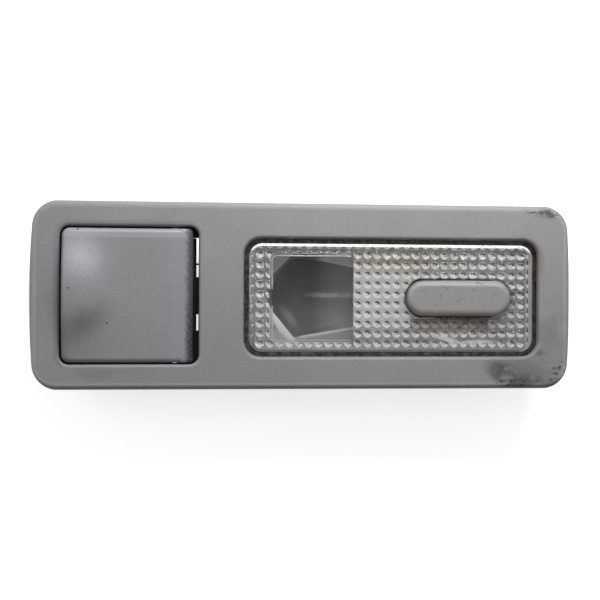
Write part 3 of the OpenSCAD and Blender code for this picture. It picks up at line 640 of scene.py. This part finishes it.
def mirror_paint():
    """Dulled mirror coat. The bowl and the deck under the window are matt and painted with their
    light and shade; dirt and painted shade lie round the lens, painted shade under the rocker
    button, and painted highlights along the bowl.
    """
    p = Paint("reflector_coat")
    deck = p.ramp(p.z, DECK_Z - 0.2, DECK_Z)
    bowl = p.times(p.ramp(p.z, DECK_Z, DECK_Z - 0.5), p.ramp(p.x, 24, 20))
    rim_outside = grown(WINDOW, WINDOW_RIM_W)
    window = p.outside(*rim_outside, LENS_X + WINDOW_X, LENS_Y + WINDOW_Y)
    seen = p.times(p.ramp(window, 0.6, 0.2), deck)
    beige = p.times(p.spot(34, 13.5, 22, 6), 0.5)
    # Painted highlight along the lit lower edge of the bowl.
    bowl_edge_highlight = p.band(p.across(-0.4, -13.8, -0.166, 0.986), 0.0, 0.55)
    bowl_edge_highlight = p.times(bowl_edge_highlight, p.ramp(p.x, -2.5, 0), p.ramp(p.x, 24, 19))
    # Painted reflection of the bulb along the bowl's floor, broken up by noise, with a soft glow.
    line_noise = p.ramp(p.noise(1.2, 5, 0.8, (0.35, 1.6, 1)), 0.34, 0.55)
    bulb_highlight = p.times(p.band(p.y, 0.5, 1.1), p.ramp(p.x, 0, 12), line_noise)
    bulb_highlight = p.most(bulb_highlight, p.times(p.spot(14, 0.5, 13, 2.6, soft=1.0), 0.3))
    bulb_highlight = p.times(bulb_highlight, bowl)
    # Dirt and painted shade round the lens pad, where the clear rim shows what lies beneath.
    ring = p.ramp(p.outside(*PAD, LENS_X, LENS_Y), -0.3, 0.1)
    # Painted shade, near black, in the well under the rocker button.
    rocker_well_shade = p.ramp(p.outside(*PILL, LENS_X + ROCKER_X, LENS_Y), 0.3, -0.1)
    mottled = p.ramp(p.noise(0.45, 5, 0.75), 0.42, 0.58)

    colour = p.coats(
        p.mix(p.noise(0.09, 4), rgb(0.80, 0.80, 0.79), rgb(0.88, 0.88, 0.87)),
        (beige, rgb(0.62, 0.54, 0.40)),
        (bowl, bowl_colour(p)),
        (seen, deck_colour(p)),
        (p.most(bulb_highlight, bowl_edge_highlight), rgb(0.90, 0.90, 0.90)),
        (ring, p.mix(mottled, rgb(0.13, 0.124, 0.118), rgb(0.03, 0.028, 0.026))),
        (rocker_well_shade, rgb(0.02, 0.018, 0.016)),
    )
    matt = p.most(bowl, seen, ring, rocker_well_shade, bulb_highlight, bowl_edge_highlight)
    rough = p.ramp(p.noise(0.14, 4), 0.35, 0.7, 0.34, 0.42)
    p.set("Base Color", colour)
    p.set("Metallic", p.ramp(matt, 0, 1, 0.75, 0.0))
    p.set("Specular IOR Level", p.ramp(bowl, 0, 1, 0.5, 0.25))
    p.set("Roughness", p.math("ADD", rough, p.times(bowl, 0.12)))
    return p.material


def simple_paint(name, dark, light, rough, metallic=0.0, scale=0.12):
    """A paint that varies a little between two colours and in how rough it is."""
    p = Paint(name, Metallic=metallic)
    p.set("Base Color", p.mix(p.noise(scale, 4), rgb(*dark), rgb(*light)))
    p.set("Roughness", p.ramp(p.noise(scale * 3, 3), 0.3, 0.7, rough - 0.06, rough + 0.06))
    p.bump(p.noise(scale * 8, 2), 0.1, 0.05)
    return p.material


def glass_paint():
    """Nearly invisible, as the photograph shows nothing of the bulb."""
    p = Paint("bulb_glass", Base_Color=rgb(0.97, 0.98, 0.98), Transmission_Weight=1.0, IOR=1.02)
    p.set("Roughness", p.ramp(p.noise(0.2, 3), 0.4, 0.7, 0.0, 0.04))
    return p.material


# Hidden parts: dark and light colour, roughness and metallic
SIMPLE_PAINTS = {
    "switch_plastic": ((0.16, 0.14, 0.12), (0.22, 0.20, 0.17), 0.5, 0.0),
    "holder_plastic": ((0.62, 0.60, 0.54), (0.70, 0.68, 0.62), 0.5, 0.0),
    "housing_plastic": ((0.52, 0.52, 0.50), (0.60, 0.60, 0.58), 0.5, 0.0),
    "contact_brass": ((0.50, 0.36, 0.14), (0.62, 0.46, 0.20), 0.32, 1.0),
    "steel": ((0.42, 0.42, 0.43), (0.55, 0.55, 0.56), 0.35, 1.0),
    "spring_steel": ((0.40, 0.41, 0.43), (0.52, 0.53, 0.55), 0.3, 1.0),
}

paints = {
    "bezel_plastic": bezel_paint(),
    "flap_plastic": flap_paint(),
    "button_plastic": button_paint(),
    "clear_plastic": clear_paint(),
    "reflector_coat": mirror_paint(),
    "bulb_glass": glass_paint(),
}
for paint_name, values in SIMPLE_PAINTS.items():
    paints[paint_name] = simple_paint(paint_name, *values)


def repaint(piece, material):
    piece.data.materials.clear()
    piece.data.materials.append(material)


def paint_nodes():
    for part in frame["record"]["subparts"]:
        repaint(nodes[part["node"]], paints[part["material_slot"]])


# Lens. Where two solids are joined, they share a sliver at least this high.
OVERLAP = 0.05
# The grooves between the cells lie this far under the lens's underside
CELL_DROP = 0.02
# Radii of a bead's rings, as shares of its own radius
BEAD_RINGS = (1.0, 0.94, 0.84, 0.7, 0.5, 0.27)
# Points on each side of a cell
CELL_POINTS = 4
# How far the cut-out for the button is moved out in the beads and for the collar round it
BEADS_BACK = 0.2
COLLAR_W = 0.45
# Heights between which the bead slab and the window's rim are cut
CUT_Z = (2, 6)

# Outer form of the lens from the bottom up: outline, height and how far in from the outline
LENS_FORM = (
    (RIM, RIM_Z, 0.0),
    (RIM, RIM_Z + 1.8, 0.0),
    (RIM, RIM_Z + 2, 0.2),
    (PAD, RIM_Z + 2, 0.0),
    (PAD, PAD_Z - 0.62, 0.0),
    (PAD, PAD_Z - 0.5, 0.08),
    (PAD, PAD_Z - 0.42, 0.18),
    (PAD, PAD_Z - 0.08, 1.0),
    (PAD, PAD_Z - 0.04, 1.15),
    (PAD, PAD_Z - 0.01, 1.4),
    (PAD, PAD_Z, 1.9),
)


def cell_square(half):
    """Points along the sides of a square about the origin."""
    corners = ((1, -1), (1, 1), (-1, 1), (-1, -1))
    for (ax, ay), (bx, by) in zip(corners, corners[1:] + corners[:1]):
        for i in range(CELL_POINTS):
            t = i / CELL_POINTS
            yield (ax + (bx - ax) * t) * half, (ay + (by - ay) * t) * half


def bead_rings(cx, cy):
    """Rings of one cell, from its border down over the bead, and the bead's tip."""
    groove = UNDER_Z - CELL_DROP
    step = groove - GROOVE_H
    cap_r = (BEAD_R ** 2 + BEAD_H ** 2) / (2 * BEAD_H)
    border = list(cell_square(PITCH / 2))
    angles = [math.atan2(y, x) for x, y in border]
    rings = [[(cx + x, cy + y, groove) for x, y in border]]
    rings.append([(cx + x, cy + y, step) for x, y in cell_square(PITCH / 2 - GROOVE_W)])
    for share in BEAD_RINGS:
        r = BEAD_R * share
        z = step - math.sqrt(cap_r ** 2 - r ** 2) + (cap_r - BEAD_H)
        rings.append([(cx + r * math.cos(a), cy + r * math.sin(a), z) for a in angles])
    return rings, (cx, cy, step - BEAD_H)


def bead_field():
    """A slab with a round bead in each square cell of its underside."""
    bm = bmesh.new()
    seen = {}

    def vertex(x, y, z):
        key = (round(x, 4), round(y, 4), round(z, 4))
        if key not in seen:
            seen[key] = bm.verts.new((x, y, z))
        return seen[key]

    x0 = LENS_X - COLS * PITCH / 2
    y0 = LENS_Y + FIELD_Y - ROWS * PITCH / 2
    count = 4 * CELL_POINTS
    for col in range(COLS):
        for row in range(ROWS):
            rings, tip = bead_rings(x0 + (col + 0.5) * PITCH, y0 + (row + 0.5) * PITCH)
            made = [[vertex(*p) for p in ring] for ring in rings]
            tip = vertex(*tip)
            for i in range(count):
                j = (i + 1) % count
                for outer, inner in zip(made, made[1:]):
                    bm.faces.new((outer[i], outer[j], inner[j], inner[i]))
                bm.faces.new((made[-1][i], made[-1][j], tip))
    edge = [e for e in bm.edges if e.is_boundary]
    made = bmesh.ops.extrude_edge_only(bm, edges=edge)
    for item in made["geom"]:
        if isinstance(item, bmesh.types.BMVert):
            item.co.z = UNDER_Z + OVERLAP
    bmesh.ops.contextual_create(bm, geom=[e for e in bm.edges if e.is_boundary])
    return bm


def make_lens():
    window = (LENS_X + WINDOW_X, LENS_Y + WINDOW_Y)
    rocker = (LENS_X + ROCKER_X, LENS_Y)
    notch = (window[0] - WINDOW[0] / 2 - 0.5, LENS_Y)
    bm = bmesh.new()
    rings = []
    for (l, w, r), z, inset in LENS_FORM:
        outline = round_rect(l - 2 * inset, w - 2 * inset, r - inset, 12)
        rings.append([(x + LENS_X, y + LENS_Y, z) for x, y in outline])
    loft(bm, rings)
    lens = plain_object("lens_body", bm)
    cut(lens, prism(round_rect(*ROOM, 8), CUT_Z[0], UNDER_Z, (LENS_X, LENS_Y)))

    beads = plain_object("beads", bead_field())
    outer = round_rect(*grown(WINDOW, WINDOW_RIM_W))
    outer = [(min(x, WINDOW_END - window[0]), y) for x, y in outer]
    cut(beads, prism(outer, *CUT_Z, window))
    cut(beads, prism(pill_outline(BEADS_BACK), *CUT_Z, rocker))
    rim = plain_object("rim", prism(outer, UNDER_Z - 1, UNDER_Z + OVERLAP, window))
    cut(rim, prism(round_rect(*WINDOW), *CUT_Z, window))
    cut(rim, prism(round_rect(*NOTCH, 2), *CUT_Z, notch))
    collar = prism(pill_outline(COLLAR_W), RIM_Z, UNDER_Z + OVERLAP, rocker)
    for part in (beads, rim, plain_object("collar", collar)):
        combine(lens, part, "UNION")
    cut(lens, prism(pill_outline(), CUT_Z[0], PAD_Z + 2, rocker))
    repaint(lens, paints["clear_plastic"])
    smooth(lens, 30)
    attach(lens, "frame")
    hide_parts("lens")


# Access flap: its thickness, its corners' radius and its edge's fillet
FLAP_T = 2.0
FLAP_R = 2.6
EDGE_R = 1.6
# The finger bulge: its reach and height, how the reach is measured across the flap, and how
# much shorter the hollow under it is. The hollow stops this far from the flap's edge.
CROWN_L = 25.0
CROWN_H = 3.4
CROWN_ACROSS = 0.85
CROWN_WALL = 3.0
EDGE_WALL = 2.0
# The rolled edge at the hinge: its radius and fillet
ROLL_R = 3.0
ROLL_FILLET = 0.9
# The room in the rolled edge for the bezel's fixed arm, and the slot that leads down from it
ARM_W = 13.3
ARM_ROOM_R = 2.05
ARM_SLOT_L = 7.4
ARM_SLOT_H = 4.0
ARM_SLOT_X = 0.3
# The skirt under the flap: how far in it stands, its thickness, how low it reaches, how far
# from the hinge it ends and its thickness there
SKIRT_INSET = 0.5
SKIRT_T = 1.4
SKIRT_H = 3.8
SKIRT_END = 2.0
SKIRT_END_T = 0.8
# The flap's mesh: how far out it starts, its steps near the edges and elsewhere, and how
# wide a strip has the fine steps. The outline is cut from it over all these heights.
MESH_MARGIN = 0.2
MESH_STEPS = (0.15, 0.7)
MESH_EDGE = 2.4
ALL_Z = (0, 20)


def spread(low, high):
    """Numbers from low to high, closer together near both ends."""
    fine, coarse = MESH_STEPS
    steps = round(MESH_EDGE / fine)
    near = [low + MESH_EDGE * i / steps for i in range(steps)]
    inner = high - low - 2 * MESH_EDGE
    middle = round(inner / coarse)
    between = [low + MESH_EDGE + inner * i / middle for i in range(middle + 1)]
    return near + between + [high - v + low for v in near[::-1]]


def crown(r, l, h):
    """Height of a round crown that runs out level at the radius l."""
    arc = (l * l + h * h) / (4 * h)
    if r >= l:
        return 0.0
    if r > l / 2:
        return arc - math.sqrt(arc ** 2 - (l - r) ** 2)
    return h - arc + math.sqrt(arc ** 2 - r ** 2)


def height_solid(xs, ys, top, bottom):
    """Closed solid between two height functions of x and y."""
    bm = bmesh.new()
    up, down = [
        [[bm.verts.new((x, y, level(x, y))) for y in ys] for x in xs] for level in (top, bottom)
    ]
    last_x = len(xs) - 1
    last_y = len(ys) - 1
    for layer, turn in ((up, 1), (down, -1)):
        for i in range(last_x):
            for j in range(last_y):
                quad = (layer[i][j], layer[i + 1][j], layer[i + 1][j + 1], layer[i][j + 1])
                bm.faces.new(quad[::turn])
    rim = [(i, 0) for i in range(last_x)]
    rim += [(last_x, j) for j in range(last_y)]
    rim += [(i, last_y) for i in range(last_x, 0, -1)]
    rim += [(0, j) for j in range(last_y, 0, -1)]
    for (i, j), (k, m) in zip(rim, rim[1:] + rim[:1]):
        bm.faces.new((up[i][j], down[i][j], down[k][m], up[k][m]))
    return bm


def lathe_y(profile, x, z, steps=48):
    """Solid turned about an axis along Y; the profile is a list of (radius, y)."""
    bm = bmesh.new()
    turns = [2 * math.pi * i / steps for i in range(steps)]
    loft(bm, [[(x + r * math.cos(a), y, z + r * math.sin(a)) for a in turns] for r, y in profile])
    return bm


def make_flap():
    hinge = frame["record"]["behaviour"]["joints"][0]
    hinge_x, _, hinge_z = [v / MM for v in hinge["pos_m"]]
    left = flap_low.x / MM
    half = (flap_high.y - flap_low.y) / 2 / MM
    length = 2 * (hinge_x - left)

    def inside(x, y):
        """Distance in from the flap's outline."""
        past_x = abs(x - hinge_x) - (length / 2 - FLAP_R)
        past_y = abs(y) - (half - FLAP_R)
        corner = math.hypot(max(past_x, 0), max(past_y, 0)) + min(max(past_x, past_y), 0)
        return FLAP_R - corner

    def from_left(x, y):
        """Distance from the middle of the left edge, where the bulge is highest."""
        return math.hypot(x - left, CROWN_ACROSS * y)

    def top(x, y):
        lack = min(max(EDGE_R - inside(x, y), 0), EDGE_R)
        rise = crown(from_left(x, y), CROWN_L, CROWN_H)
        return FACE_Z + rise - EDGE_R + math.sqrt(EDGE_R ** 2 - lack ** 2)

    def bottom(x, y):
        hollow = crown(from_left(x, y), CROWN_L - CROWN_WALL, CROWN_H)
        return FACE_Z - FLAP_T + (hollow if inside(x, y) > EDGE_WALL else 0)

    def outline(inset, end):
        shape = round_rect(length - 2 * inset, 2 * (half - inset), FLAP_R - inset, 8)
        return [(min(x + hinge_x, end), y) for x, y in shape]

    xs = spread(left - MESH_MARGIN, hinge_x)
    ys = spread(-half - MESH_MARGIN, half + MESH_MARGIN)
    flap = plain_object("flap_body", height_solid(xs, ys, top, bottom))
    combine(flap, plain_object("edge", prism(outline(0, hinge_x), *ALL_Z)), "INTERSECT")

    end = hinge_x - SKIRT_END
    skirt = prism(outline(SKIRT_INSET, end), FACE_Z - SKIRT_H, FACE_Z - FLAP_T + 2 * OVERLAP)
    skirt = plain_object("skirt", skirt)
    cut(skirt, prism(outline(SKIRT_INSET + SKIRT_T, end - SKIRT_END_T), *ALL_Z))
    combine(flap, skirt, "UNION")

    turns = [math.radians(15 * i) for i in range(7)]
    f = ROLL_FILLET
    arc = [(ROLL_R - f + f * math.sin(a), half - f + f * math.cos(a)) for a in turns]
    profile = arc + [(r, -y) for r, y in arc[::-1]]
    combine(flap, plain_object("roll", lathe_y(profile, hinge_x, hinge_z)), "UNION")
    cut(flap, lathe_y([(ARM_ROOM_R, -ARM_W / 2), (ARM_ROOM_R, ARM_W / 2)], hinge_x, hinge_z))
    slot = round_rect(ARM_SLOT_L, ARM_W, 0.1, 2)
    cut(flap, prism(slot, hinge_z - ARM_SLOT_H, hinge_z, (hinge_x + ARM_SLOT_X, 0)))
    repaint(flap, paints["flap_plastic"])
    smooth(flap, 32)
    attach(flap, "flap")
    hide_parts("cover_flap")


# Dark bars that stand in for shade in the slits behind the flap's rolled edge, narrowing the pale
# part seen through them
SLIT_SHADE_X = -37.5
SLIT_SHADE_W = 2.8
SLIT_SHADE_Y = ((6.2, 19.2), (-12.8, -6.2))
SLIT_SHADE_Z = (0.4, 1.3)


def make_slit_shades():
    bm = bmesh.new()
    for low, high in SLIT_SHADE_Y:
        outline = round_rect(SLIT_SHADE_W, high - low, 0.2, 3)
        middle = (low + high) / 2
        loft(bm, [[(x + SLIT_SHADE_X, y + middle, z) for x, y in outline] for z in SLIT_SHADE_Z])
    new_piece("slit_shades", bm, paints["bezel_plastic"], "frame")


# Stage, in metres
FLOOR_Z = cad_box[0][2] - 0.0001
FLOOR_HALF = 3


def make_stage():
    """A floor that takes the shadow. It glows white only where it is seen, also in the lens."""
    bm = bmesh.new()
    bmesh.ops.create_grid(bm, x_segments=2, y_segments=2, size=FLOOR_HALF)
    mesh = bpy.data.meshes.new("floor")
    bm.to_mesh(mesh)
    bm.free()
    floor = bpy.data.objects.new("floor", mesh)
    floor.location.z = FLOOR_Z
    scene.collection.objects.link(floor)
    p = Paint("floor", Base_Color=rgb(0.9, 0.9, 0.9), Roughness=0.9, Specular_IOR_Level=0.0)
    path = p.add("ShaderNodeLightPath").outputs
    seen = p.most(path["Is Camera Ray"], path["Is Glossy Ray"], path["Is Transmission Ray"])
    p.set("Emission Color", rgb(1, 1, 1))
    p.set("Emission Strength", p.times(seen, 0.68))
    mesh.materials.append(p.material)


def make_world():
    """White behind the object. As a light, brighter low down and towards +Y, dark above."""
    world = bpy.data.worlds.new("studio")
    scene.world = world
    world.use_nodes = True
    tree = world.node_tree

    def add(kind, **inputs):
        made = tree.nodes.new(kind)
        for key, value in inputs.items():
            if isinstance(value, bpy.types.NodeSocket):
                tree.links.new(value, made.inputs[key])
            else:
                made.inputs[key].default_value = value
        return made.outputs

    def span(value, low, high, out_low, out_high):
        sockets = {"From Min": low, "From Max": high, "To Min": out_low, "To Max": out_high}
        return add("ShaderNodeMapRange", Value=value, **sockets)[0]

    direction = add("ShaderNodeTexCoord")["Generated"]
    _, y, z = add("ShaderNodeSeparateXYZ", Vector=direction)
    upward = span(z, 0.3, 0.95, 0.42, 0.22)
    sideways = span(y, -0.6, 0.8, 0.3, 2.0)
    light = tree.nodes.new("ShaderNodeMath")
    light.operation = "MULTIPLY"
    tree.links.new(upward, light.inputs[0])
    tree.links.new(sideways, light.inputs[1])
    to_camera = add("ShaderNodeLightPath")["Is Camera Ray"]
    strength = add("ShaderNodeMix", Factor=to_camera, A=light.outputs[0], B=1.0)[0]
    background = tree.nodes["Background"].inputs
    tree.links.new(strength, background["Strength"])
    background["Color"].default_value = rgb(1, 1, 1)


# Area lamps, aimed at the origin: place and size in metres, power in watts
LAMPS = {
    "key": ((0.045, 0.155, 0.135), (0.22, 0.05), 0.48),
    "fill": ((-0.45, 0.1, 0.45), (0.25, 0.25), 0.55),
}


def make_lights():
    for name, (place, size, power) in LAMPS.items():
        data = bpy.data.lights.new(name, "AREA")
        data.shape = "RECTANGLE"
        data.size, data.size_y = size
        data.energy = power
        light = bpy.data.objects.new(name, data)
        light.location = place
        light.rotation_euler = (-Vector(place)).to_track_quat("-Z", "Y").to_euler()
        scene.collection.objects.link(light)


scene.view_settings.view_transform = "Standard"
make_camera()
make_stage()
make_world()
make_lights()
paint_nodes()
make_lens()
make_flap()
make_slit_shades()
